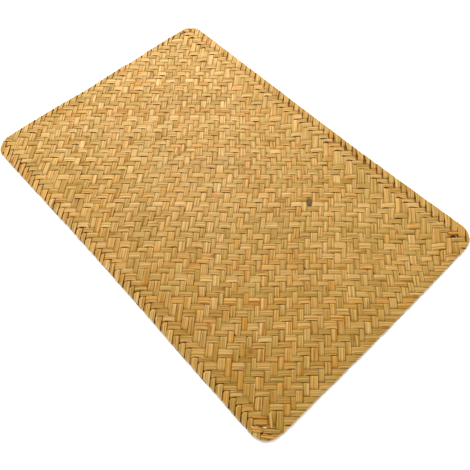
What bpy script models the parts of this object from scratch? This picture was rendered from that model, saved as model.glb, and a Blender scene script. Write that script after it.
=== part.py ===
"""Plaited bamboo placemat: one flat mat lying on a table.

The mat is modelled at real size in metres, +Z up, with its origin at the centre
of the underside. X runs along its long sides and Y along its short ones.
A mat like this is plaited in one piece, and its strips are folded back round
the rim, so it is one solid with a rounded rim and no separate binding.
"""
import bpy
from mathutils import Vector

# Overall sizes
MAT_LENGTH = 0.454
MAT_WIDTH = 0.300
MAT_THICKNESS = 0.0026
RIM_ROUNDING = 0.0009
RIM_STEPS = 2

# A quarter circle drawn with Bezier handles needs handles this share of its radius
ARC_HANDLE = 0.5523
SIDE_HANDLE = 0.006
CURVE_STEPS = 8
WELD_DISTANCE = 0.00005

# Look of the bamboo: sunned straw gold, dry and slightly glossy
BAMBOO_COLOUR = (0.610, 0.370, 0.130, 1.0)
BAMBOO_ROUGHNESS = 0.55
BAMBOO_METALLIC = 0.0

# Each side is walked anticlockwise, seen from above. Its row gives the side's length, the
# outward direction, the radius of the corner at its far end, and how far the handmade edge
# bows out from a straight line: pairs of (share of the side, metres outwards).
SIDES = (
    {"name": "front", "length": MAT_LENGTH, "outward": (0, -1), "corner_radius": 0.0200,
     "bows": ((0.05, 0.0023), (0.19, 0.0014), (0.36, 0.0001), (0.60, -0.0003), (0.80, 0.0001), (0.95, 0.0001))},
    {"name": "right", "length": MAT_WIDTH, "outward": (1, 0), "corner_radius": 0.0180,
     "bows": ((0.08, -0.0006), (0.30, 0.0000), (0.50, 0.0003), (0.72, 0.0000), (0.92, -0.0010))},
    {"name": "back", "length": MAT_LENGTH, "outward": (0, 1), "corner_radius": 0.0170,
     "bows": ((0.05, 0.0023), (0.15, 0.0013), (0.26, 0.0002), (0.42, -0.0005), (0.66, 0.0000), (0.94, 0.0006))},
    {"name": "left", "length": MAT_WIDTH, "outward": (-1, 0), "corner_radius": 0.0180,
     "bows": ((0.08, 0.0004), (0.22, 0.0009), (0.32, -0.0003), (0.42, 0.0003), (0.53, -0.0008), (0.74, 0.0005),
              (0.92, 0.0003))},
)


def clear_scene():
    """Remove whatever objects the file opened with."""
    for obj in list(bpy.data.objects):
        bpy.data.objects.remove(obj, do_unlink=True)


def new_collection(name):
    """Return a collection of that name, linked into the scene."""
    collection = bpy.data.collections.new(name)
    bpy.context.scene.collection.children.link(collection)
    return collection


def new_material(name, colour, roughness, metallic):
    """Return a plain Principled material."""
    material = bpy.data.materials.new(name)
    material.use_nodes = True
    shader = material.node_tree.nodes["Principled BSDF"]
    shader.inputs["Base Color"].default_value = colour
    shader.inputs["Roughness"].default_value = roughness
    shader.inputs["Metallic"].default_value = metallic
    material.diffuse_color = colour
    return material


def point_on_side(side, share, bow):
    """Return the XY point at a share of a side's length, moved outwards by its bow."""
    out_x, out_y = side["outward"]
    along_x, along_y = -out_y, out_x
    reach = (MAT_LENGTH if out_x else MAT_WIDTH) / 2 + bow
    walked = (share - 0.5) * side["length"]
    return (out_x * reach + along_x * walked, out_y * reach + along_y * walked)


def outline_knots():
    """Return the rim's knots in order: (point, handle before, handle after) in XY.

    A knot on a side has no handles of its own, and Blender smooths the side through it.
    A knot where a corner starts or ends has the handle that makes the corner a quarter circle.
    """
    knots = []
    for index, side in enumerate(SIDES):
        radius_before = SIDES[index - 1]["corner_radius"]
        radius_after = side["corner_radius"]
        out_x, out_y = side["outward"]
        along_x, along_y = -out_y, out_x
        bows = side["bows"]

        x, y = point_on_side(side, radius_before / side["length"], bows[0][1])
        pull = ARC_HANDLE * radius_before
        knots.append(((x, y), (x - along_x * pull, y - along_y * pull), None))

        for share, bow in bows[1:-1]:
            knots.append((point_on_side(side, share, bow), None, None))

        x, y = point_on_side(side, 1 - radius_after / side["length"], bows[-1][1])
        pull = ARC_HANDLE * radius_after
        knots.append(((x, y), None, (x + along_x * pull, y + along_y * pull)))
    return knots


def centre_on_origin(curve_object):
    """Move the outline so that the middle of its extents is the origin."""
    evaluated = curve_object.evaluated_get(bpy.context.evaluated_depsgraph_get())
    mesh = evaluated.to_mesh()
    xs = [vertex.co.x for vertex in mesh.vertices]
    ys = [vertex.co.y for vertex in mesh.vertices]
    curve_object.location.x = -(min(xs) + max(xs)) / 2
    curve_object.location.y = -(min(ys) + max(ys)) / 2
    evaluated.to_mesh_clear()


def build_mat(collection, material):
    """Make the mat: a filled outline given its thickness, with a rounded rim."""
    curve = bpy.data.curves.new("mat", type="CURVE")
    curve.dimensions = "2D"
    curve.fill_mode = "BOTH"
    curve.extrude = MAT_THICKNESS / 2
    curve.resolution_u = CURVE_STEPS
    curve.render_resolution_u = CURVE_STEPS

    knots = outline_knots()
    spline = curve.splines.new("BEZIER")
    spline.bezier_points.add(len(knots) - 1)
    spline.use_cyclic_u = True
    for knot, (point, handle_before, handle_after) in zip(spline.bezier_points, knots):
        knot.co = (*point, 0)
        if handle_before is None and handle_after is None:
            knot.handle_left_type = "AUTO"
            knot.handle_right_type = "AUTO"
            continue
        knot.handle_left_type = "FREE"
        knot.handle_right_type = "FREE"
        corner_handle = Vector((*(handle_before or handle_after), 0))
        side_handle = knot.co + (knot.co - corner_handle).normalized() * SIDE_HANDLE
        knot.handle_left = corner_handle if handle_before else side_handle
        knot.handle_right = side_handle if handle_before else corner_handle

    mat = bpy.data.objects.new("mat", curve)
    collection.objects.link(mat)
    mat.data.materials.append(material)
    mat.location.z = MAT_THICKNESS / 2
    bpy.context.view_layer.update()
    centre_on_origin(mat)

    weld = mat.modifiers.new("join the caps to the rim", "WELD")
    weld.merge_threshold = WELD_DISTANCE
    rounding = mat.modifiers.new("round the rim", "BEVEL")
    rounding.width = RIM_ROUNDING
    rounding.segments = RIM_STEPS
    rounding.limit_method = "ANGLE"
    return mat


def main():
    clear_scene()
    placemat = new_collection("bamboo placemat")
    bamboo = new_material("plaited bamboo", BAMBOO_COLOUR, BAMBOO_ROUGHNESS, BAMBOO_METALLIC)
    build_mat(placemat, bamboo)


main()
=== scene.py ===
# %% [markdown]
# A placemat plaited from split bamboo. Two families of flat strips cross at a right angle and
# run on the bias, so the strips rise to the right or fall to the right across the mat.
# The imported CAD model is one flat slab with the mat's outline. It is loaded first, because
# everything made here has to lie where that slab lies.

# %% Load the frame
import math

import bmesh
import bpy
import numpy as np
from mathutils import Matrix, Vector


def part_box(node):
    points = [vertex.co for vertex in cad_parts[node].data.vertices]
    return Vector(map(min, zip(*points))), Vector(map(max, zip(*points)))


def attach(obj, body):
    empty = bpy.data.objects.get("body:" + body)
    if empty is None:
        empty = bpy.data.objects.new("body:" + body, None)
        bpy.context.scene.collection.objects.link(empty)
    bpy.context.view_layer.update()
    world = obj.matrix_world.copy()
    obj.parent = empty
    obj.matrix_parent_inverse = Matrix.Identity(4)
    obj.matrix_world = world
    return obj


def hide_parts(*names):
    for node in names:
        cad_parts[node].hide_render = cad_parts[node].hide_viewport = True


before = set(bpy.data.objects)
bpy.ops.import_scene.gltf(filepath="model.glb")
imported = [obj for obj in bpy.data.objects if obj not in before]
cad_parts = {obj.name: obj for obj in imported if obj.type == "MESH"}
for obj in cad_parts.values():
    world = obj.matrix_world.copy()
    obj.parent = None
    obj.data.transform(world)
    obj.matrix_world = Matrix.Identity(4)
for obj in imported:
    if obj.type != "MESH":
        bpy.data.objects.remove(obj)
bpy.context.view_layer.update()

MM = 0.001
mat_low, mat_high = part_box("mat")
mat_middle = (mat_low.z + mat_high.z) / 2
print("mat of", [round(v / MM, 1) for v in mat_high - mat_low], "mm")

# %% [markdown]
# The camera comes early, because it settles which side of the mat is near. It looks down at
# about 60 degrees over the mat's near right part, and is turned a little about its own axis,
# as a hand-held camera is. Its place and lens follow from the two vanishing points of the
# mat's straight edges.

# %% Camera
CAMERA_PLACE = Vector((0.25885, -0.20053, 0.47425))
CAMERA_AIM = Vector((0.05436, -0.02779, 0.00130))
CAMERA_ROLL = math.radians(-2.5256)
CAMERA_LENS = 40.03
SENSOR_WIDTH = 36.0


def turned_to(place, aim, roll=0.0):
    """Return the matrix of a camera or light at place that looks at aim."""
    forward = (aim - place).normalized()
    level = forward.cross(Vector((0, 0, 1))).normalized()
    right = Matrix.Rotation(-roll, 3, forward) @ level
    up = right.cross(forward)
    turn = Matrix((right, up, -forward)).transposed()
    return Matrix.Translation(place) @ turn.to_4x4()


camera_data = bpy.data.cameras.new("camera")
camera_data.lens = CAMERA_LENS
camera_data.sensor_width = SENSOR_WIDTH
camera_data.clip_start = 0.01
camera_data.clip_end = 20.0
camera = bpy.data.objects.new("camera", camera_data)
camera.matrix_world = turned_to(CAMERA_PLACE, CAMERA_AIM, CAMERA_ROLL)
bpy.context.scene.collection.objects.link(camera)
bpy.context.scene.camera = camera
print("camera", round((CAMERA_AIM - CAMERA_PLACE).length, 3), "m from what it looks at")

# %% [markdown]
# Every strip ends at the rim, so the rim's line is needed as points. A copy of the slab is
# merged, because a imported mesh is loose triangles, and cut flat at half its height with
# bisect_plane. What stays is one closed loop of edges, which is then walked in order.

# %% Rim line
WELD = 0.01 * MM
slab = bmesh.new()
slab.from_mesh(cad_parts["mat"].data)
bmesh.ops.remove_doubles(slab, verts=slab.verts, dist=WELD)
bmesh.ops.bisect_plane(
    slab,
    geom=slab.verts[:] + slab.edges[:] + slab.faces[:],
    plane_co=(0, 0, mat_middle),
    plane_no=(0, 0, 1),
    clear_inner=True,
    clear_outer=True,
)
walk = [slab.verts[:][0]]
came_by = None
while len(walk) == 1 or walk[-1] is not walk[0]:
    came_by = next(edge for edge in walk[-1].link_edges if edge is not came_by)
    walk.append(came_by.other_vert(walk[-1]))
rim_line = np.array([vert.co[:2] for vert in walk[:-1]])
slab.free()
print("rim line of", len(rim_line), "points")

# %% [markdown]
# Near the rim a strip bends down and closes, so each of its points has to know how much room
# it has inside the rim. Measuring this for every point would be slow, so a chart with one
# reading a millimetre is measured once, and a point blends the four readings around it.

# %% Room inside the rim
CHART_STEP = 1 * MM
CHART_MARGIN = 20 * MM
chart_corner = np.array([mat_low.x, mat_low.y]) - CHART_MARGIN
chart_sizes = [int((high - low + 2 * CHART_MARGIN) / CHART_STEP) + 2
               for low, high in ((mat_low.x, mat_high.x), (mat_low.y, mat_high.y))]


def measured_room(x, y):
    """Measure how far points lie inside the rim line, in metres. Outside is negative."""
    nearest = np.full(x.shape, np.inf)
    inside = np.zeros(x.shape, bool)
    for start, end in zip(rim_line, np.roll(rim_line, -1, axis=0)):
        side = end - start
        share = np.clip(((x - start[0]) * side[0] + (y - start[1]) * side[1]) / (side @ side), 0, 1)
        gap_x = x - start[0] - share * side[0]
        gap_y = y - start[1] - share * side[1]
        nearest = np.minimum(nearest, gap_x * gap_x + gap_y * gap_y)
        if side[1] != 0:
            passes = (start[1] > y) != (end[1] > y)
            inside ^= passes & (x < start[0] + (y - start[1]) / side[1] * side[0])
    return np.where(inside, 1, -1) * np.sqrt(nearest)


room_chart = measured_room(*np.meshgrid(
    chart_corner[0] + np.arange(chart_sizes[0]) * CHART_STEP,
    chart_corner[1] + np.arange(chart_sizes[1]) * CHART_STEP,
    indexing="ij",
))


def room_inside(points):
    """Read the chart of room at XY points, blended between its four nearest places."""
    place = (points - chart_corner) / CHART_STEP
    column = np.clip(place[..., 0].astype(int), 0, chart_sizes[0] - 2)
    row = np.clip(place[..., 1].astype(int), 0, chart_sizes[1] - 2)
    right = np.clip(place[..., 0] - column, 0, 1)
    up = np.clip(place[..., 1] - row, 0, 1)
    near_side = room_chart[column, row] * (1 - right) + room_chart[column + 1, row] * right
    far_side = room_chart[column, row + 1] * (1 - right) + room_chart[column + 1, row + 1] * right
    return near_side * (1 - up) + far_side * up


print("most room inside the rim", round(room_chart.max() / MM, 1), "mm")

# %% [markdown]
# The plait is laid out on a grid of half cells. Strips cross where the column and the row
# number add up to an even number. A falling strip keeps the sum of the two numbers as it runs
# down to the right, and a rising strip keeps their difference.
# In the field a falling strip lies on top in two columns, then a rising strip in the next two,
# and this makes the columns of a twill. Along the long sides the plaiter works three rows the
# other way, each two half cells deep, and they read as a border.

# %% Over and under
LENGTH = 454 * MM
WIDTH = 300 * MM
COLUMNS = 108
ROWS = 66
CELL_X = LENGTH / COLUMNS
CELL_Y = WIDTH / ROWS
STEP = math.hypot(CELL_X, CELL_Y)
PITCH = 2 * CELL_X * CELL_Y / STEP
BORDER_ROWS = 6
# For each family, how many rows of the grid a strip climbs from one column to the next
FAMILIES = {"falling": -1, "rising": 1}


def falling_on_top(column, row):
    """Tell for arrays of columns and rows where the falling strip lies on top."""
    column = np.clip(column, 0, COLUMNS - 1)
    row = np.clip(row, 0, ROWS - 1)
    from_side = np.minimum(row, ROWS - 1 - row)
    return np.where(from_side < BORDER_ROWS, from_side // 2 != 1, column % 4 < 2)


print("crossings", COLUMNS * ROWS // 2, "- a strip every", round(PITCH / MM, 2), "mm")

# %% [markdown]
# Neighbouring strips touch along a seam. No strip is quite straight, so each seam lies a little
# off its even place, and two slow waves are added to that. Both neighbours read the same seam,
# so a strip's width changes as it runs and no gap opens. Every second seam is moved the other
# way, because every second strip is a wider one.

# %% Wandering seams
# How far a seam lies off: to make every second strip wider, all along, and in slow waves
WIDER = 0.30 * MM
STEADY_DRIFT = 0.46 * MM
MOST_STEADY = 2 * STEADY_DRIFT
SLOW_DRIFT = 0.55 * MM
# The shortest and the longest slow wave, in columns for each radian
SLOW_WAVES = (5, 13)
# The seams of a family are numbered from below its lowest strip
SEAM_COUNT = 160
FIRST_NUMBER = -60
rng = np.random.default_rng(23)
seams = {
    family: {
        "steady": rng.normal(0, STEADY_DRIFT, SEAM_COUNT).clip(-MOST_STEADY, MOST_STEADY),
        "wave": rng.uniform(*SLOW_WAVES, (2, SEAM_COUNT)),
        "start": rng.uniform(0, 2 * math.pi, (2, SEAM_COUNT)),
    }
    for family in FAMILIES
}


def seam_drift(family, number, column):
    """Return how far the seam above a strip lies from its even place, in metres, at a column."""
    seam = seams[family]
    index = np.asarray(number) - FIRST_NUMBER
    slow = sum(np.sin(column / seam["wave"][i][index] + seam["start"][i][index]) for i in (0, 1)) / 2
    return np.where(index % 2 == 0, WIDER, -WIDER) + seam["steady"][index] + SLOW_DRIFT * slow


print("seams up to", round((WIDER + MOST_STEADY + SLOW_DRIFT) / MM, 2), "mm off")

# %% [markdown]
# The whole grid also wanders by a millimetre or two in waves some centimetres long, as a mat
# does that was pulled tight by hand. It is calmer along the sides, where the outline holds it.
# In one stretch towards the back the plaiter crowded the rows. They are moved nearer to the
# middle there, which leaves the last rows at the rim longer.

# %% Wandering grid
WANDER = 1.9 * MM
CALM_REACH = 50 * MM
LEAST_WANDER = 0.25
BACK_ROWS_AT = np.array([50, 113, 122, 141, 150]) * MM
BACK_ROWS_MOVED = np.array([0, -4.8, -2.3, -1.8, 0]) * MM


def wandered(x, y):
    """Return XY points of the grid, moved by the long waves and crowded towards the back."""
    calm_x = np.clip((LENGTH / 2 - abs(x)) / CALM_REACH, LEAST_WANDER, 1)
    calm_y = np.clip((WIDTH / 2 - abs(y)) / CALM_REACH, LEAST_WANDER, 1)
    # Lengths that share no factor, and odd starts in radians, keep the waves from repeating
    wave_x = np.sin(y / (49 * MM) + 1.1) * np.cos(x / (71 * MM) + 0.4)
    wave_x = wave_x + 0.5 * np.sin(x / (31 * MM) + y / (43 * MM))
    wave_y = np.sin(x / (58 * MM) + 2.3) * np.cos(y / (64 * MM))
    wave_y = wave_y + 0.5 * np.cos(x / (37 * MM) - y / (29 * MM) + 0.8)
    moved = np.interp(y, BACK_ROWS_AT, BACK_ROWS_MOVED)
    return np.stack([x + WANDER * calm_x * wave_x, y + WANDER * calm_y * wave_y + moved], axis=-1)


print("the grid wanders by up to", round(1.5 * WANDER / MM, 1), "mm")

# %% [markdown]
# A strip dives where it goes from over to under. The dip lies on the seam between the two
# strips that it crosses, so the place follows that seam's own drift. It is shifted a little
# towards the side where the strip is on top, because the strip needs room to turn.
# Three small helpers follow: a soft bump, a smooth random line along a strip, and a ramp across
# the mat.

# %% Dips
# How much shorter a strip's top is at each end, in columns
DIP_SHIFT = 0.02


def levels_and_dip(strip, before):
    """Return a strip's level at column before, at the next one, and the place of the dip between."""
    slope = FAMILIES[strip["family"]]
    levels = []
    for column in (before, before + 1):
        falling = falling_on_top(column, 2 * strip["number"] + slope * column)
        levels.append(np.where(falling == (slope < 0), 1.0, -1.0))
    crossed = "rising" if slope < 0 else "falling"
    crossed_number = strip["number"] + slope * before - (slope < 0)
    seam = 0.5 + slope * seam_drift(crossed, crossed_number, before + 0.5) / STEP
    return levels[0], levels[1], before + seam - DIP_SHIFT * (levels[0] - levels[1]) / 2


def near(far, reach):
    """Return 1 at a place, less around it, and almost nothing two reaches away."""
    return np.exp(-(far / reach) ** 2)


# Random knots along a strip, and which of them lies at its place 0
KNOT_COUNT = 400
FIRST_KNOT = 130


def smooth_random(seed, along, every):
    """Return a random value from -1 to 1 that changes smoothly along a strip."""
    knots = np.random.default_rng(seed).uniform(-1, 1, KNOT_COUNT)
    place = along / every + FIRST_KNOT
    before = np.floor(place).astype(int)
    share = place - before
    share = share * share * (3 - 2 * share)
    return knots[before] * (1 - share) + knots[before + 1] * share


LEFTWARDS_SPAN = 360 * MM


def leftwards(x):
    """Return 0 near the mat's right side and 1 near its left side."""
    return np.clip(0.5 - x / LEFTWARDS_SPAN, 0, 1)


print("a dip comes about", round(0.5 * STEP / MM, 1), "mm after a crossing")

# %% [markdown]
# A strip gets narrower where it is squeezed, and then a small dark gap shows beside it. All
# that narrows a strip is worked out as a share of its width that it loses at a place.
# The first cause is the dip: the strip is squeezed as it dives, hardest in the rows along the
# two long sides, where the plaiter turns the rim. A rising strip spreads a little instead.

# %% Squeezed at the dips
# How far a squeeze reaches along a strip, in columns
DIP_REACH = 0.19
FRONT_DIP_REACH = 0.30
# The rows along the front and the back side with pits in them, and how hard they squeeze
PITTED_STRETCH = 14 * MM
FRONT_PINCH = 0.42
FRONT_PINCH_LEAST = 0.25
BACK_PINCH = 0.20
DIP_WIDER = 0.16


def dip_pinch(strip, before, y):
    """Return the share of its width that a strip loses at a dip, and how far along this reaches."""
    pinch = strip["pinches"][before % len(strip["pinches"])]
    by_front = y < PITTED_STRETCH - WIDTH / 2
    by_back = y > WIDTH / 2 - PITTED_STRETCH
    reach = np.where(by_front, FRONT_DIP_REACH, DIP_REACH)
    if strip["family"] == "rising":
        return pinch - DIP_WIDER, reach
    front_pinch = FRONT_PINCH * (FRONT_PINCH_LEAST + (1 - FRONT_PINCH_LEAST) * strip["wedges"][1])
    return np.where(by_back, BACK_PINCH, np.where(by_front, front_pinch, pinch)), reach


print("dips take", FRONT_PINCH, "of a strip's width at the front,", BACK_PINCH, "at the back")

# %% [markdown]
# Some rows near the back are loose and show open wedges, and the corners, where the last strips
# were forced round, have a few dark hollows. Both are soft bumps, where the photograph has them.

# %% Wedges and hollows
# For each family, rows of open wedges: where from front to back, how deep, and how open
BACK_WEDGES = {
    "falling": ((144 * MM, 3.6 * MM, 0.27),),
    "rising": ((134 * MM, 2.2 * MM, 0.24), (114 * MM, 4.5 * MM, 0.17)),
}
# The wedges open towards the right and close again at the right side
WEDGE_IN_MIDDLE = 0.75
WEDGE_WIDENING = 0.8 * LENGTH
LEAST_WEDGE = 0.4
MOST_WEDGE = 1.05
WEDGE_FADE = 75 * MM


def wedge_pinch(strip, x, y):
    """Return the share of its width that a strip loses in the rows of open wedges."""
    wide = np.clip(WEDGE_IN_MIDDLE + x / WEDGE_WIDENING, LEAST_WEDGE, MOST_WEDGE)
    wide = wide * np.clip((LENGTH / 2 - x) / WEDGE_FADE, LEAST_WEDGE, 1)
    rows = enumerate(BACK_WEDGES[strip["family"]])
    return sum(open_by * wide * strip["wedges"][number] * near(y - place, depth)
               for number, (place, depth, open_by) in rows)


# In mm from the mat's middle: the dark hollows at the far, left and right corners
HOLLOWS = {
    "falling": ((-221.6, 127.1), (-216.8, 140.0), (-214.0, -143.5), (-207.3, -144.1),
                (-201.1, -144.5), (-183.2, -143.6)),
    "rising": ((-206.6, 135.5), (-192.3, 134.2), (-183.5, 135.3), (206.0, 138.5)),
}
HOLLOW_REACH = 3.2 * MM
HOLLOW_PINCH = 0.42


def hollow_pinch(strip, x, y):
    """Return the share of its width that a strip loses at the corners' hollows."""
    return sum(HOLLOW_PINCH * near(np.hypot(x - hollow_x * MM, y - hollow_y * MM), HOLLOW_REACH)
               for hollow_x, hollow_y in HOLLOWS[strip["family"]])


print(sum(len(rows) for rows in BACK_WEDGES.values()), "rows of wedges and",
      sum(len(places) for places in HOLLOWS.values()), "hollows")

# %% [markdown]
# Two causes are left. A loose strip is narrow for a stretch, most of all towards the left, but
# stays firm at its dips. A falling strip is pulled together where it folds round the front or
# the left side, which leaves the row of small triangles that the photograph shows there.

# %% Where a strip narrows
# The share that a loose strip loses, the part of it that is left on the right, and how long
# a loose stretch and a firm place are, in columns
SLACK = {"falling": 0.11, "rising": 0.15}
SLACK_ON_RIGHT = 0.35
SLACK_STRETCH = 1.9
FIRM_REACH = 0.45
# For two sides, how strongly the fold pulls a falling strip together, and how deep
RIM_PULL = {"front": (0.20, 9 * MM), "left": (0.26, 12 * MM)}
MOST_PULL = 1.2
LEAST_KEPT = 0.35


def narrowing(strip, along, x, y):
    """Return the share of its width that a strip keeps at each place."""
    before = np.floor(along).astype(int)
    here, following, dip = levels_and_dip(strip, before)
    dives = here != following
    pinch, reach = dip_pinch(strip, before, y)
    loose = np.clip(smooth_random(strip["seed"] + 3, along, SLACK_STRETCH), 0, 1)
    firm = dives * near(along - dip, FIRM_REACH)
    kept = 1 - pinch * dives * near(along - dip, reach)
    kept = kept - SLACK[strip["family"]] * (SLACK_ON_RIGHT + leftwards(x)) * loose * (1 - firm)
    kept = kept - wedge_pinch(strip, x, y) - hollow_pinch(strip, x, y)
    if strip["family"] == "rising":
        return kept
    to_sides = {"front": y + WIDTH / 2, "left": x + LENGTH / 2}
    for side, (pull, depth) in RIM_PULL.items():
        tight = np.clip(1 - to_sides[side] / depth, 0, MOST_PULL)
        kept = kept * (1 - pull * strip["wedges"][0] * tight)
    return np.clip(kept, LEAST_KEPT, 1)


print("a falling strip always keeps", LEAST_KEPT, "of its width")

# %% [markdown]
# A place on a strip is given by how far along it is, in columns, and how far across, from -1 to
# 1. It lies between the strip's two seams, which overlap a little so that no light comes
# through. A narrowed strip leans against its upper seam, because the plaiter pushes each new
# strip up against the last.

# %% Points of a strip
OVERLAP = 0.12 * MM
LEAN = 0.75
# A seam lies beside the strip's middle line, and this is how far along that shifts it
SEAM_OFFSET = PITCH / 2 * CELL_Y / STEP / CELL_X


def strip_points(strip, along, across):
    """Return the XY points of a strip at along (in columns) and across (-1 to 1)."""
    family, number = strip["family"], strip["number"]
    slope = FAMILIES[family]
    x = (along + 0.5) * CELL_X - LENGTH / 2
    y = (2 * number + slope * along + 0.5) * CELL_Y - WIDTH / 2
    half_width = PITCH / 2 + OVERLAP
    upper = half_width + seam_drift(family, number, along - slope * SEAM_OFFSET)
    lower = -half_width + seam_drift(family, number - 1, along + slope * SEAM_OFFSET)
    kept = narrowing(strip, along, x, y)
    sideways = (upper + lower) / 2 + (across * kept + LEAN * (1 - kept)) * (upper - lower) / 2
    return wandered(x - slope * sideways * CELL_Y / STEP, y + sideways * CELL_X / STEP)


print("neighbouring strips overlap by", round(2 * OVERLAP / MM, 2), "mm")

# %% [markdown]
# Each strip is split from the cane by hand, so each gets its own tone, hue, tightness and
# length. Every second strip is a paler, wider one from near the skin of the cane, and the ones
# between are duller and narrower. A few falling strips gape at a dip.

# %% Strips
# Tone: 0 is dull and 1 is straw. Warmth: above 0 is orange and below it olive.
PALE_LIGHT = 0.61
DULL_LIGHT = 0.43
LIGHT_SPREAD = 0.15
WARM_MIDDLE = 0.05
WARM_SPREAD = 0.20
# How far short of the rim's line a strip may stop
SET_BACK = 0.6 * MM
# Every dip squeezes by a little, and a few of the falling strips' dips gape
SMALL_PINCH = 0.10
PINCH_COUNT = 61
GAPE = 0.26
GAPE_SHARE = 0.035
# How strongly a strip joins in the wedges and pits, from least to most
WEDGE_SPREAD = (0.2, 1.5)
strips = []
for family, slope in FAMILIES.items():
    numbers = range(0, (COLUMNS + ROWS) // 2) if slope < 0 else range(-COLUMNS // 2, ROWS // 2)
    gape = GAPE if family == "falling" else 0
    for number in numbers:
        pale = number % 2 == 0
        strips.append({
            "family": family,
            "number": number,
            "pale": pale,
            "light": rng.normal(PALE_LIGHT if pale else DULL_LIGHT, LIGHT_SPREAD),
            "warm": rng.normal(WARM_MIDDLE, WARM_SPREAD),
            "set_back": SET_BACK * rng.random(),
            "pinches": SMALL_PINCH * rng.random(PINCH_COUNT) ** 2
            + gape * (rng.random(PINCH_COUNT) < GAPE_SHARE),
            "wedges": rng.uniform(*WEDGE_SPREAD, 2),
            "seed": rng.integers(1 << 30),
        })
print(len(strips), "strips")

# %% [markdown]
# A strip is cut off where it meets the rim. Lines along the strip are followed in small steps
# until they leave the rim, and the crossing is read off between two steps. At a corner only
# some of a strip's lines may be long enough. The section is then made as narrow as they are,
# so it stays whole, and where only a sliver would be left there is no strip.

# %% Ends on the rim
# The section of a strip, once round: how far across, and how far up. Flat, with eased edges.
SECTION = ((-1.0, 0.0), (-0.94, 0.82), (-0.66, 1.0), (0.66, 1.0),
           (0.94, 0.82), (1.0, 0.0), (0.94, -0.9), (-0.94, -0.9))
section_across = np.array([across for across, _ in SECTION])
section_up = np.array([up for _, up in SECTION])
LEAST_LENGTH = 5 * MM
# In columns: the walk's step, and how far outside the grid it starts and ends
WALK_STEP = 0.05
WALK_OUTSIDE = 2.0
TRIED_LINES = 21
FEWEST_LINES = 6


def ends_on_rim(strip, across):
    """Return where each line of a strip meets the rim, along it, and whether it is long enough."""
    slope = FAMILIES[strip["family"]]
    row_ends = np.array([-WALK_OUTSIDE, ROWS - 1 + WALK_OUTSIDE])
    columns = np.sort(slope * (row_ends - 2 * strip["number"]))
    first_column = max(-WALK_OUTSIDE, columns[0])
    last_column = min(COLUMNS - 1 + WALK_OUTSIDE, columns[1])
    steps = np.arange(first_column, last_column, WALK_STEP)
    room = room_inside(strip_points(strip, steps[:, None], across[None, :])) - strip["set_back"]
    starts, ends = np.zeros(len(across)), np.zeros(len(across))
    for line in range(len(across)):
        inside = np.nonzero(room[:, line] > 0)[0]
        if len(inside) < 2 or inside[0] == 0 or inside[-1] == len(steps) - 1:
            continue
        for places, inner, outwards in ((starts, inside[0], -1), (ends, inside[-1], 1)):
            left, past = room[inner, line], room[inner + outwards, line]
            places[line] = steps[inner] + outwards * WALK_STEP * left / (left - past)
    return starts, ends, (ends - starts) * STEP > LEAST_LENGTH


def lines_to_rim(strip):
    """Return a strip's lines across and their two ends, or None where only a sliver is left."""
    tries = np.linspace(-1, 1, TRIED_LINES)
    fits = ends_on_rim(strip, tries)[2]
    if fits.sum() < FEWEST_LINES:
        return None
    low, high = tries[fits].min(), tries[fits].max()
    across = low + (section_across + 1) / 2 * (high - low)
    starts, ends, _ = ends_on_rim(strip, across)
    return across, starts, ends


for strip in strips:
    strip["lines"] = lines_to_rim(strip)
print(sum(strip["lines"] is not None for strip in strips), "strips reach across the mat")

# %% [markdown]
# Seen from the side a strip is a row of flat tops and flat bottoms with a short slope at each
# dip. The tops are crowned a little, because a stiff strip springs up between its dips.
# Its rows of points are close together at the dips and the rim and far apart where it is flat.

# %% Along a strip
# How long the slope beside a dip is, in columns, and how much lower a top's ends are
SHOULDER = 0.30
CROWN = 0.15
# Rows of points, as shares of the way from one dip to the next, and in columns from the rim
STATIONS = (0.0, 0.10, 0.24, 0.5, 0.76, 0.90)
RIM_STATIONS = (0.0, 0.03, 0.08, 0.17, 0.30)
CLEAR_OF_RIM = 0.42


def heights(strip, along):
    """Return a strip's height at each place along it: 1 on the highest top, -1 at the lowest."""
    before = np.floor(along).astype(int)
    here, following, dip = levels_and_dip(strip, before)
    to_dip = np.ones(along.shape)
    for column in (before - 1, before, before + 1):
        level, next_level, place = levels_and_dip(strip, column)
        to_dip = np.where(level != next_level, np.minimum(to_dip, abs(along - place)), to_dip)
    level = np.where(along < dip, here, following)
    bow = (1 - to_dip) ** 2
    shoulder = (1 - np.minimum(to_dip, SHOULDER) / SHOULDER) ** 2
    return level * (1 - CROWN * bow - (1 - CROWN) * shoulder)


def rows_along(strip):
    """Return where the rows of points lie along a strip, in columns, one place for each line."""
    _, starts, ends = strip["lines"]
    columns = np.arange(math.floor(starts.min()) - 1, math.ceil(ends.max()) + 1)
    dips = levels_and_dip(strip, columns)[2]
    inner = (dips[:-1, None] + np.diff(dips)[:, None] * np.array(STATIONS)[None, :]).ravel()
    inner = inner[(inner > starts.max() + CLEAR_OF_RIM) & (inner < ends.min() - CLEAR_OF_RIM)]
    if len(inner) == 0:
        inner = np.array([(starts.max() + ends.min()) / 2])
    first_rows = [starts + step for step in RIM_STATIONS]
    last_rows = [ends - step for step in RIM_STATIONS[::-1]]
    first_rows.append((first_rows[-1] + inner[0]) / 2)
    last_rows.insert(0, (last_rows[0] + inner[-1]) / 2)
    return np.array([*first_rows, *[np.full(len(SECTION), place) for place in inner], *last_rows])


print("rows of points along the longest strip",
      max(len(rows_along(strip)) for strip in strips if strip["lines"] is not None))

# %% [markdown]
# The strip swings about the middle of the mat's thickness. In the field it swings further than
# at the rim, where two flattened strips have to fit the slab, and further still towards the
# left, where the mat is looser. At the rim the upper and the lower layer close on each other
# in a quarter circle, as real strips do where they fold back under the mat.

# %% Height of a strip
THICK = 0.80 * MM
ABOVE_GROUND = 0.04 * MM
RIM_SWING = (mat_high.z - mat_low.z) / 2 - THICK / 2
FIELD_SWING = 0.50 * MM
LEFT_SWING = 0.68 * MM
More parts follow.
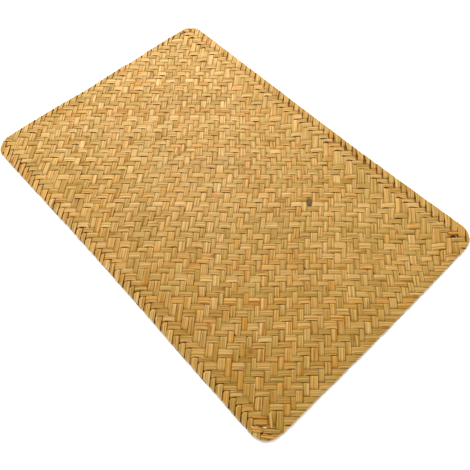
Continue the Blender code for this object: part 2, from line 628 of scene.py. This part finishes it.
# The swing changes from the rim's to the field's between these distances from the rim
RIM_SWING_TO = 7 * MM
FIELD_SWING_FROM = 22 * MM
FOLD_RADIUS = 1.3 * MM
# The share of its thickness that a strip keeps at the very rim
THINNEST = 0.07
# No strip lies quite level: how much one side is higher, and how soon that changes
TILT = 0.20 * MM
TILT_STRETCH = 2.0


def laid_height(strip, along, points, height, bend):
    """Return Z for each point of a strip, inside the slab's thickness."""
    tilt = TILT * smooth_random(strip["seed"], along, TILT_STRETCH) * strip["lines"][0]
    deep = np.clip((room_inside(points) - RIM_SWING_TO) / (FIELD_SWING_FROM - RIM_SWING_TO), 0, 1)
    field_swing = FIELD_SWING + (LEFT_SWING - FIELD_SWING) * leftwards(points[..., 0])
    swing = RIM_SWING + (field_swing - RIM_SWING) * deep
    closing = np.clip(np.sqrt(1 - bend ** 2), THINNEST, 1)
    z = mat_middle + closing * (height * swing + section_up * THICK / 2 + tilt)
    return np.clip(z, mat_low.z + ABOVE_GROUND, mat_high.z)


print("strips", THICK / MM, "mm thick swing by", FIELD_SWING / MM, "to", LEFT_SWING / MM, "mm")

# %% [markdown]
# The finish needs to know how deep in the plait each point lies, because it paints shade there,
# with dust. The dips in the rows along the two long sides are the deepest: they are pits.

# %% How open a place is
SIDE_OPEN = 0.25
PIT_ROWS = 11 * MM
PIT_REACH = 0.15
PIT_SHADE = 0.5


def openness(strip, along, points, height):
    """Return how open each point is: 1 on the outside of the plait, 0 deep in it."""
    outward = np.sign(section_up)
    open_air = np.where(outward == 0, SIDE_OPEN, 0.5 + 0.5 * height * outward)
    here, following, dip = levels_and_dip(strip, np.floor(along).astype(int))
    from_long_side = WIDTH / 2 - abs(points[..., 1])
    pitted = (here != following) * np.clip(2 - from_long_side / PIT_ROWS, 0, 1)
    return open_air - PIT_SHADE * strip["wedges"][1] * pitted * near(along - dip, PIT_REACH)


print("pits within", PIT_ROWS / MM, "mm of the long sides")

# %% [markdown]
# The finish also needs each point's tone. It wanders along a strip, as the cane's own does, and
# it follows the photograph in the large: more contrast and paler strips towards the left,
# paler and warmer ones along the front side, and darker ones towards the near corner.
# The paler, more contrasting left is painted light and sheen, and the darker near corner is painted
# shade.

# %% Tone of a strip
# How much the light changes along a strip, and how soon, in columns
LIGHT_CHANGE = 0.22
LIGHT_STRETCH = 1.7
MEAN_LIGHT = 0.54
CONTRAST_ON_RIGHT = 0.30
# Painted light and sheen: towards the left the strips grow paler and their tones spread further apart
PAINTED_SHEEN_CONTRAST_LEFTWARDS = 0.55
LEFT_PAINTED_LIGHT = 0.14
FRONT_LIGHT = 0.25
FRONT_LIGHT_DEPTH = 9 * MM
# Painted shade: the strips are darker towards the near corner, where less light falls
NEAR_CORNER_PAINTED_SHADE = 0.28


def lightness(strip, along, points):
    """Return how light each point is, tone with painted light and shade: 0 is the dull colour, 1 the
    straw colour.
    """
    x, y = points[..., 0], points[..., 1]
    light = strip["light"] + LIGHT_CHANGE * smooth_random(strip["seed"] + 1, along, LIGHT_STRETCH)
    contrast = CONTRAST_ON_RIGHT + PAINTED_SHEEN_CONTRAST_LEFTWARDS * leftwards(x) ** 2
    light = MEAN_LIGHT + (light - MEAN_LIGHT) * contrast
    light = light + LEFT_PAINTED_LIGHT * leftwards(x) ** 3
    light = light + FRONT_LIGHT * np.clip(1 - (y + WIDTH / 2) / FRONT_LIGHT_DEPTH, 0, 1)
    return light - NEAR_CORNER_PAINTED_SHADE * np.clip(x / LENGTH - y / WIDTH, 0, 1)


WARM_CHANGE = 0.20
WARM_STRETCH = 2.3
FRONT_WARMTH = 0.35
FRONT_WARMTH_DEPTH = 14 * MM


def warmth(strip, along, points):
    """Return how warm the bamboo is at each point: orange above 0, olive below."""
    by_front = np.clip(1 - (points[..., 1] + WIDTH / 2) / FRONT_WARMTH_DEPTH, 0, 1)
    warm = strip["warm"] + WARM_CHANGE * smooth_random(strip["seed"] + 2, along, WARM_STRETCH)
    return warm + FRONT_WARMTH * by_front * leftwards(points[..., 0])


print("tone varies by", LIGHT_SPREAD, "from strip to strip and by", LIGHT_CHANGE, "along one")

# %% [markdown]
# A strip is a thin closed ribbon. It is made from a flat create_grid: the grid's long way runs
# along the strip, its short way goes once round the section, and the seam is welded. Each
# vertex is then moved to its place, and the two open ends are filled. A curve with a bevel
# would be quicker, but it can't get narrower and thinner in two different ways.

# %% Ribbon
SHARP_ANGLE = math.radians(35)
SEAM_WELD = 0.002 * MM


def ribbon_mesh(points, z, fibre, light, warm, open_air, bend):
    """Make a closed ribbon with its vertices in rows along it, each row once round the section."""
    shape = bmesh.new()
    fibre_layer = shape.verts.layers.float_vector.new("fibre")
    tone_layer = shape.verts.layers.float_vector.new("tone")
    open_layer = shape.verts.layers.float.new("open_air")
    bend_layer = shape.verts.layers.float.new("bend")
    grid = bmesh.ops.create_grid(shape, x_segments=len(SECTION), y_segments=len(z) - 1, size=1)
    for index, vert in enumerate(grid["verts"]):
        row, line = divmod(index, len(SECTION) + 1)
        line %= len(SECTION)
        vert.co = (*points[row, line], z[row, line])
        vert[fibre_layer] = fibre[row, line]
        vert[tone_layer] = (light[row, line], warm[row, line], section_across[line])
        vert[open_layer] = open_air[row, line]
        vert[bend_layer] = bend[row, line]

    bmesh.ops.remove_doubles(shape, verts=shape.verts, dist=SEAM_WELD)
    open_ends = [edge for edge in shape.edges if edge.is_boundary]
    bmesh.ops.holes_fill(shape, edges=open_ends, sides=len(SECTION))
    bmesh.ops.recalc_face_normals(shape, faces=shape.faces)
    for face in shape.faces:
        face.smooth = len(face.verts) == 4
    for edge in shape.edges:
        edge.smooth = edge.calc_face_angle(0) < SHARP_ANGLE
    mesh = bpy.data.meshes.new("strip")
    shape.to_mesh(mesh)
    shape.free()
    return mesh


def lay_strip(strip):
    """Return the mesh of one strip, clipped at the rim."""
    across = strip["lines"][0]
    along = rows_along(strip)
    points = strip_points(strip, along, across[None, :])
    bend = 1 - np.clip(room_inside(points) - strip["set_back"], 0, FOLD_RADIUS) / FOLD_RADIUS
    height = heights(strip, along)
    z = laid_height(strip, along, points, height, bend)
    fibre = np.stack(
        np.broadcast_arrays(along * STEP, across * PITCH / 2, strip["number"]), axis=-1)
    light, warm = lightness(strip, along, points), warmth(strip, along, points)
    return ribbon_mesh(points, z, fibre, light, warm, openness(strip, along, points, height), bend)


print("each row of a ribbon has", len(SECTION), "points")

# %% [markdown]
# At the rim each falling strip turns back under the mat, and its end lies between the strips
# there for a finger's breadth. It leaves the rim mirrored, as a folded paper strip does. Only
# its lower side can be seen, from below, so it is a short flat ribbon that starts behind the
# rim.

# %% Folded ends
FOLD_DEPTH = 17 * MM
FOLD_UNEVEN = 0.3
# In radians: an odd step from strip to strip, so that the ends look cut by eye
FOLD_UNEVEN_STEP = 2.4
FOLD_THICK = 0.50 * MM
FOLD_STATIONS = (0.0, 0.12, 0.45, 0.95, 1.0)
FOLD_START = 1.2 * MM
FOLD_START_SHARE = 0.12
# The folded end's upper side, between the layers, is painted in shade, and its lower side only a little
FOLD_OPEN_ABOVE = 0.05
FOLD_OPEN_BELOW = 0.8
RIM_INSET = 0.9 * MM
LEAST_SLANT = 0.4


def lay_fold(strip, ends, inwards):
    """Return the mesh of a strip's end where it has turned back under the mat."""
    across = strip["lines"][0]
    on_rim = strip_points(strip, ends, across)
    before = strip_points(strip, ends + inwards, across)
    middle = on_rim.mean(axis=0)
    nudges = MM * np.eye(2)
    uphill = np.array([room_inside(middle + by) - room_inside(middle - by) for by in nudges])
    normal = uphill / np.hypot(*uphill)
    arriving = (on_rim - before).mean(axis=0)
    arriving = arriving / np.hypot(*arriving)
    leaving = arriving - 2 * (arriving @ normal) * normal
    uneven = 1 + FOLD_UNEVEN * math.sin(strip["number"] * FOLD_UNEVEN_STEP)
    depth = FOLD_DEPTH * uneven / max(leaving @ normal, LEAST_SLANT)
    share = np.array(FOLD_STATIONS)[:, None]
    points = on_rim + normal * RIM_INSET + share[..., None] * depth * leaving
    raised = (FOLD_START - FOLD_THICK) * np.clip(1 - share / FOLD_START_SHARE, 0, 1)
    z = mat_low.z + FOLD_THICK / 2 * (1 + section_up) + raised
    fibre = np.stack(
        np.broadcast_arrays(share * depth, across * PITCH / 2, strip["number"] + 0.5), axis=-1)
    same = np.ones(z.shape)
    open_air = np.where(section_up >= 0, FOLD_OPEN_ABOVE, FOLD_OPEN_BELOW) * same
    return ribbon_mesh(points, z, fibre, strip["light"] * same, strip["warm"] * same, open_air, 0 * same)


print("folded ends lie", FOLD_DEPTH / MM, "mm under the mat")

# %% [markdown]
# The corners are finished last. There the plaiter tucks short ends in over the plait, and they
# leave loops, dark hollows and a few small ends with a painted highlight. Each is one short
# ribbon that bows up in its middle and dives at both ends. A dark hollow is a low ribbon that
# hardly any light reaches, so it is painted in shade, with the edge of the next strip over it.

# %% Tucked ends
TUCK_THICK = 0.60 * MM
TUCK_BOW = 0.55 * MM
TUCK_LEVEL = mat_high.z - 0.35 * MM
TUCK_PROUD = 0.3 * MM
TUCK_ROWS = 9
TUCK_TAPER = 0.3
# A tuck's width times this moves it to its own part of the fibre pattern
TUCK_PATTERN = 7000
# How soon a tuck comes into the open as it rises out of the plait
TUCK_EMERGING = 0.3
# Each row: family, start, end and width in mm, light, warm, depth in mm, how open (low is painted
# shade), painted highlight
TUCKS = (
    # The near corner: a squeezed loop, the hollow in it painted in shade, and two small painted
    # highlights
    ("rising", (199.8, -143.2), (211.6, -130.6), 8.6, 0.10, 0.6, 0.35, 0.10, 0),
    ("rising", (198.6, -139.6), (207.8, -130.4), 1.9, 0.60, 1.0, 0.0, 1.0, 0),
    ("rising", (202.6, -141.2), (210.6, -132.8), 4.8, 0.25, 0.35, 0.0, 1.0, 0),
    ("falling", (206.8, -125.4), (217.3, -133.9), 3.2, 0.95, -0.3, 0.0, 1.0, 0),
    ("falling", (198.4, -140.8), (205.9, -148.0), 1.9, 0.65, 0.8, 0.0, 1.0, 0),
    ("rising", (211.8, -141.3), (223.0, -130.9), 5.4, 0.10, 0.0, 0.3, 0.10, 0),
    ("rising", (213.8, -140.3), (224.0, -130.3), 4.0, 0.60, -0.5, 0.0, 1.0, 0),
    ("rising", (215.0, -144.6), (223.4, -137.4), 3.4, 0.50, 0.9, 0.0, 1.0, 0),
    ("rising", (206.4, -146.6), (212.6, -141.0), 4.4, 0.60, 0.5, 0.0, 1.0, 0),
    ("rising", (211.6, -138.4), (213.8, -136.4), 1.1, 1.0, -0.2, -0.05, 1.0, 1),
    ("rising", (204.2, -145.6), (205.9, -144.1), 1.0, 1.0, -0.2, -0.05, 1.0, 1),
    # The right corner: one end over a hollow
    ("rising", (202.6, 132.6), (211.2, 142.2), 5.6, 0.10, 0.6, 0.35, 0.10, 0),
    ("rising", (203.4, 133.8), (210.4, 141.4), 3.0, 0.35, 0.9, 0.0, 1.0, 0),
    # The far corner: hollows between loose ends
    ("falling", (-224.4, 134.4), (-219.4, 127.2), 2.6, 0.00, 0.5, 0.1, 0.04, 0),
    ("rising", (-223.0, 130.4), (-217.2, 135.4), 1.5, 0.10, 0.6, 0.1, 0.08, 0),
    ("rising", (-225.0, 136.4), (-219.4, 142.0), 2.4, 0.75, 0.8, 0.0, 1.0, 0),
    ("falling", (-221.2, 142.4), (-213.8, 137.2), 1.3, 0.10, 0.6, 0.1, 0.08, 0),
    # The left corner: a loose end and a group of thin pale ones
    ("falling", (-212.9, -143.0), (-208.2, -149.0), 3.0, 0.70, 0.8, 0.0, 1.0, 0),
    ("falling", (-209.6, -131.0), (-201.8, -138.4), 1.2, 1.00, 0.1, 0.0, 1.0, 0),
    ("falling", (-207.8, -129.8), (-200.4, -136.6), 1.2, 0.90, 0.2, 0.0, 1.0, 0),
    ("falling", (-211.0, -133.0), (-204.4, -139.6), 1.2, 1.00, 0.0, 0.0, 1.0, 0),
)


def lay_tuck(start, end, width, light, warm, depth, open_to, painted_highlight):
    """Return the mesh of a short end that is tucked in over the plait, low at both its ends."""
    start, end, width = np.array(start) * MM, np.array(end) * MM, width * MM
    length = np.hypot(*(end - start))
    side = np.array([start[1] - end[1], end[0] - start[0]]) / length
    share = np.linspace(0, 1, TUCK_ROWS)[:, None]
    bow = np.sin(math.pi * share)
    half_width = width / 2 * (1 - TUCK_TAPER + TUCK_TAPER * bow)
    sideways = section_across * half_width
    points = start + share[..., None] * (end - start) + sideways[..., None] * side
    z = TUCK_LEVEL - depth * MM + TUCK_BOW * bow + section_up * TUCK_THICK / 2
    z = np.minimum(z, mat_high.z + TUCK_PROUD)
    fibre = np.stack(
        np.broadcast_arrays(share * length, sideways, width * TUCK_PATTERN), axis=-1)
    faced = 0.5 + 0.5 * np.sign(section_up) * bow ** TUCK_EMERGING
    open_air = open_to * np.where(section_up == 0, SIDE_OPEN, faced)
    same = np.ones(z.shape)
    return ribbon_mesh(points, z, fibre, light * same, warm * same, open_air, painted_highlight * same)


print(len(TUCKS), "tucked ends")

# %% [markdown]
# One object per strip would be hard to handle, so the ribbons are joined into four pieces, by
# family and by tone, and each piece gets its own finish.

# %% Lay the strips
def plait(name, family, pale):
    """Make one piece of all the strips of a family that are pale, or dull."""
    shape = bmesh.new()
    own_strips = [strip for strip in strips if strip["lines"] is not None
                  and (strip["family"], strip["pale"]) == (family, pale)]
    ribbons = []
    for strip in own_strips:
        ribbons.append(lay_strip(strip))
        if family == "falling":
            _, starts, ends = strip["lines"]
            ribbons += [lay_fold(strip, starts, 0.5), lay_fold(strip, ends, -0.5)]
    if pale:
        ribbons += [lay_tuck(*tuck) for tuck_family, *tuck in TUCKS if tuck_family == family]
    for ribbon in ribbons:
        shape.from_mesh(ribbon)
        bpy.data.meshes.remove(ribbon)
    mesh = bpy.data.meshes.new(name)
    shape.to_mesh(mesh)
    shape.free()
    piece = bpy.data.objects.new(name, mesh)
    bpy.context.scene.collection.objects.link(piece)
    area = sum(polygon.area for polygon in mesh.polygons)
    triangles = sum(len(polygon.vertices) - 2 for polygon in mesh.polygons)
    print(name, len(own_strips), "strips,", triangles, "triangles, surface", round(area, 4), "m2")
    return piece


pieces = {
    (family, pale): plait(f"{family}_strips_{'pale' if pale else 'dull'}", family, pale)
    for family in FAMILIES for pale in (True, False)
}

# %% [markdown]
# Two helpers keep the finishes short. One turns an sRGB colour into the linear values that the
# shader mixes. The other adds a node with its settings and its links.

# %% Node helpers
def linear(hex_colour):
    """Turn an sRGB hex colour into linear RGBA."""
    channels = [int(hex_colour[i:i + 2], 16) / 255 for i in (1, 3, 5)]
    return (*[c / 12.92 if c <= 0.04045 else ((c + 0.055) / 1.055) ** 2.4 for c in channels], 1.0)


def add_node(tree, kind, inputs=None, **settings):
    """Add a node, set its settings, and set or link its inputs."""
    node = tree.nodes.new(kind)
    for name, value in settings.items():
        setattr(node, name, value)
    for name, value in (inputs or {}).items():
        if isinstance(value, bpy.types.NodeSocket):
            tree.links.new(value, node.inputs[name])
        else:
            node.inputs[name].default_value = value
    return node


print("straw in linear values", [round(value, 3) for value in linear("#C19F62")])

# %% [markdown]
# Split bamboo is straw-coloured grass wood. Its fibres run straight along the strip as fine
# light and dark lines, and where the sun or the drying caught it, it turns orange or olive.
# The colour starts from each strip's own tone, which is stored on its vertices, and noise
# stretched along the fibre attribute is laid over it. It follows each strip round its fold.

# %% Fibre patterns
def pattern_scale(length, width, between_strips):
    """Return a Mapping scale for marks of a real length and width in metres along the fibre."""
    return (1 / length, 1 / width, between_strips)


# For each kind of mark: its size, and the noise's detail and roughness. Real fibres are 0.1 to
# 0.3 mm wide. The streaks are drawn coarser, so that they show.
MARKS = {
    "streaks": (pattern_scale(71.4 * MM, 0.87 * MM, 7.3), 2.0, 0.6),
    "cracks": (pattern_scale(91 * MM, 2.38 * MM, 3.1), 0.0, 0.5),
    "patches": (pattern_scale(13.33 * MM, 3.85 * MM, 5.7), 1.0, 0.5),
    "sun": (pattern_scale(10.53 * MM, 9.09 * MM, 9.1), 0.0, 0.5),
}
# The brown stain lies along a falling strip, to the right of the mat's middle
STAIN_PLACE = (79.5 * MM, 57.2 * MM, 0)
STAIN_TURN = -math.atan2(CELL_Y, CELL_X)
STAIN_HALF_SIZE = (6.0 * MM, 3.1 * MM, 1)
print("patterns:", ", ".join(MARKS), "and one stain")

# %% Bamboo
# A drying crack is drawn where its noise passes through this value
CRACK_LEVEL = 0.57
SIDE_SHADE_LEAST = 0.2
OLIVE_STRENGTH = -1.8
FIBRE_RELIEF = 0.4 * MM


def split_bamboo(name, dull, straw):
    """Make the finish of split bamboo strips: dry and matt, with straight fibres.

    The eye sees soft straw gold with fine lines along each strip, brown where strips meet.
    """
    material = bpy.data.materials.new(name)
    material.use_nodes = True
    tree = material.node_tree
    shader = tree.nodes["Principled BSDF"]

    # What the vertices say: place in the fibre, light, warm, across, open to the air, bend
    fibre = add_node(tree, "ShaderNodeAttribute", attribute_name="fibre").outputs["Vector"]
    tone = add_node(tree, "ShaderNodeAttribute", attribute_name="tone").outputs["Vector"]
    tone = add_node(tree, "ShaderNodeSeparateXYZ", {"Vector": tone}).outputs
    open_air = add_node(tree, "ShaderNodeAttribute", attribute_name="open_air").outputs["Fac"]
    bend = add_node(tree, "ShaderNodeAttribute", attribute_name="bend").outputs["Fac"]

    marks = {}
    for mark, (scale, detail, roughness) in MARKS.items():
        place = add_node(tree, "ShaderNodeMapping", {"Vector": fibre, "Scale": scale})
        noise = add_node(tree, "ShaderNodeTexNoise", {
            "Vector": place.outputs["Vector"], "Scale": 1.0, "Detail": detail, "Roughness": roughness})
        marks[mark] = noise.outputs["Fac"]

    olive = add_node(tree, "ShaderNodeMath", {0: tone["Y"], 1: OLIVE_STRENGTH},
                     operation="MULTIPLY", use_clamp=True)
    from_crack = add_node(tree, "ShaderNodeMath", {0: marks["cracks"], 1: CRACK_LEVEL},
                          operation="SUBTRACT")
    from_crack = add_node(tree, "ShaderNodeMath", {0: from_crack.outputs["Value"]},
                          operation="ABSOLUTE")
    from_middle = add_node(tree, "ShaderNodeMath", {0: tone["Z"]}, operation="ABSOLUTE")
    side_shade = add_node(tree, "ShaderNodeMapRange", {
        "Value": marks["patches"],
        "From Min": 0.36, "From Max": 0.60, "To Min": SIDE_SHADE_LEAST, "To Max": 1.0})
    place = add_node(tree, "ShaderNodeTexCoord").outputs["Object"]
    place = add_node(tree, "ShaderNodeMapping", {
        "Vector": place, "Location": STAIN_PLACE, "Rotation": (0, 0, STAIN_TURN),
        "Scale": STAIN_HALF_SIZE}, vector_type="TEXTURE")
    from_stain = add_node(tree, "ShaderNodeVectorMath", {0: place.outputs["Vector"]},
                          operation="LENGTH")

    # What is read, where the tint begins and where it is full, its strength and its colour
    tints = (
        # Orange where the sun caught it: few patches, about as long as a strip is wide
        (marks["sun"], 0.70, 0.80, 0.5, "#BC6C14"),
        # Fibres: the dark and the pale ones are the two ends of the same noise
        (marks["streaks"], 0.52, 0.34, 0.66, "#805200"),
        (marks["streaks"], 0.50, 0.68, 0.36, "#DBB87C"),
        # Drying cracks: thin brown lines
        (from_crack.outputs["Value"], 0.05, 0.0, 0.85, "#744600"),
        # The stain: a soft dark oval
        (from_stain.outputs["Value"], 1.25, 0.75, 0.9, "#4C3A1E"),
        # Painted highlight: the fold at the rim, and the small tucked ends that carry it, are made pale
        # as light catches them
        (bend, 0.2, 0.9, 0.75, "#E6CD9A"),
        # Dark sides: dust and painted shade where a strip meets the next one, in some stretches more
        (from_middle.outputs["Value"], 0.80, 0.95, side_shade.outputs["Result"], "#462000"),
        # Dips: dust and shade lie in them
        # Dips and the other deep places: painted shade, with dust
        (open_air, 0.42, 0.0, 0.85, "#5C2800"),
    )
    layers = [(tone["X"], straw), (tone["Y"], "#B27A2C"), (olive.outputs["Value"], "#927632")]
    for value, begins, full, strength, tint in tints:
        amount = add_node(tree, "ShaderNodeMapRange", {
            "Value": value, "From Min": begins, "From Max": full, "To Min": 0.0, "To Max": strength})
        layers.append((amount.outputs["Result"], tint))

    # Each layer lies over the one before. Sockets 6 and 7 of a Mix node are its two colours.
    colour = linear(dull)
    for amount, tint in layers:
        mix = add_node(tree, "ShaderNodeMix", {"Factor": amount, 6: colour, 7: linear(tint)},
                       data_type="RGBA")
        colour = mix.outputs[2]
    tree.links.new(colour, shader.inputs["Base Color"])

    bump = add_node(tree, "ShaderNodeBump", {
        "Height": marks["streaks"], "Strength": 0.4, "Distance": FIBRE_RELIEF})
    tree.links.new(bump.outputs["Normal"], shader.inputs["Normal"])
    # Dry wood fibre has an IOR near 1.5, but its open pores scatter nearly all the gloss
    shader.inputs["Roughness"].default_value = 0.45
    shader.inputs["IOR"].default_value = 1.5
    shader.inputs["Specular IOR Level"].default_value = 0.05
    return material


for (family, pale), piece in pieces.items():
    if pale:
        # From under the green skin: dense, so it stays light and a little silky
        look = split_bamboo(f"split bamboo near the skin {family}", "#8E6A19", "#C19F62")
    else:
        # From the core of the cane: pithier, so it dries duller and browner
        look = split_bamboo(f"split bamboo from the core {family}", "#896719", "#B7975A")
    piece.data.materials.append(look)
    print(piece.name, "is", look.name)

# %% [markdown]
# The mat lies on matt white paper, which gives off a little light of its own, so it stays
# white up to the mat. The main light comes from beyond the far corner, as from a window, so
# each strip throws its small shadow towards the viewer. A second, low and weak, skims the left
# side and picks out the strips' edges.

# %% Floor
floor_shape = bmesh.new()
bmesh.ops.create_grid(floor_shape, x_segments=1, y_segments=1, size=3.0)
floor_mesh = bpy.data.meshes.new("floor")
floor_shape.to_mesh(floor_mesh)
floor_shape.free()
floor = bpy.data.objects.new("floor", floor_mesh)
bpy.context.scene.collection.objects.link(floor)
# Paper: no gloss, so the floor is even and shows only the mat's soft shadow
paper = bpy.data.materials.new("matt white paper")
paper.use_nodes = True
paper_shader = paper.node_tree.nodes["Principled BSDF"]
paper_shader.inputs["Base Color"].default_value = linear("#F8F8F6")
paper_shader.inputs["Roughness"].default_value = 0.9
paper_shader.inputs["Emission Color"].default_value = linear("#FFFFFF")
paper_shader.inputs["Emission Strength"].default_value = 0.22
floor.data.materials.append(paper)
print("floor of", paper.name)

# %% Light
DAYLIGHT = (1.0, 1.02, 1.12)
LIGHTS = (
    {"name": "window", "place": (-0.85, 0.56, 1.20), "aim": (0, 0, 0), "size": 0.6, "energy": 40.8},
    {"name": "low window", "place": (-0.78, 0.34, 0.40), "aim": (-0.15, 0, 0),
     "size": 0.4, "energy": 1.2},
)
for light in LIGHTS:
    light_data = bpy.data.lights.new(light["name"], "AREA")
    light_data.shape = "DISK"
    light_data.size = light["size"]
    light_data.energy = light["energy"]
    light_data.color = DAYLIGHT
    lamp = bpy.data.objects.new(light["name"], light_data)
    lamp.matrix_world = turned_to(Vector(light["place"]), Vector(light["aim"]))
    bpy.context.scene.collection.objects.link(lamp)

world = bpy.data.worlds.new("white room")
world.use_nodes = True
world.node_tree.nodes["Background"].inputs["Color"].default_value = linear("#FFFAF2")
world.node_tree.nodes["Background"].inputs["Strength"].default_value = 0.58
bpy.context.scene.world = world
bpy.context.scene.view_settings.view_transform = "Standard"
print(len(LIGHTS), "lights and a white room")

# %% [markdown]
# The strips stand for the slab, so the slab isn't shown. Each piece rides on the only body.
# All four are laid flat, and together make the mat.
# A piece has every second strip of one family, so it covers half of the flat rectangle.

for piece in pieces.values():
    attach(piece, "root")
    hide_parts("mat")
